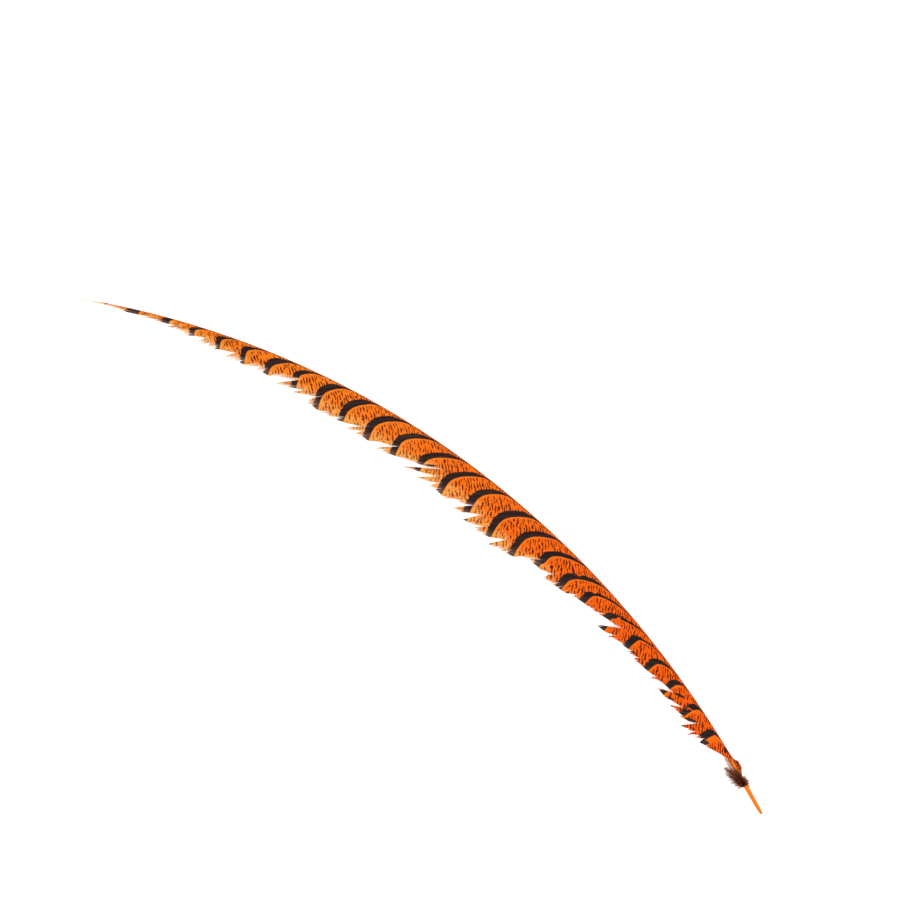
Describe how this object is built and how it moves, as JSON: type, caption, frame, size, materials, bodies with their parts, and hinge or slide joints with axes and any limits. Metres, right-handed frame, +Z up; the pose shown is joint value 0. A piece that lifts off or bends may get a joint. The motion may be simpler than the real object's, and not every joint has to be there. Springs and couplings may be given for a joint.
{
  "type": "pheasant tail feather",
  "caption": "Long bowed pheasant tail feather lying flat: bare quill, downy foot, barred broad vane with split flags, narrow vane folded under the shaft.",
  "frame": {"origin": "under the middle of the feather's box, on the surface it lies on", "axes": "+X from the quill's end to the tip along the straight line between them, +Y towards the inside of the bow and the broad vane, +Z up from the surface"},
  "size_m": [0.7338, 0.0908, 0.0119],
  "materials": {
    "horn": "smooth translucent horn, dyed orange, darker towards the tip",
    "barred_web": "soft barbs, orange with near-black bars and fine dark red wavy marks, pale at the margin",
    "mottled_web": "soft short barbs, orange mottled with dark brown",
    "down": "loose matt down, dark red-brown"
  },
  "bodies": {
    "root": {"shaft": "horn", "broad_vane": "barred_web", "narrow_vane": "mottled_web", "down_tuft": "down"}
  },
  "joints": []
}
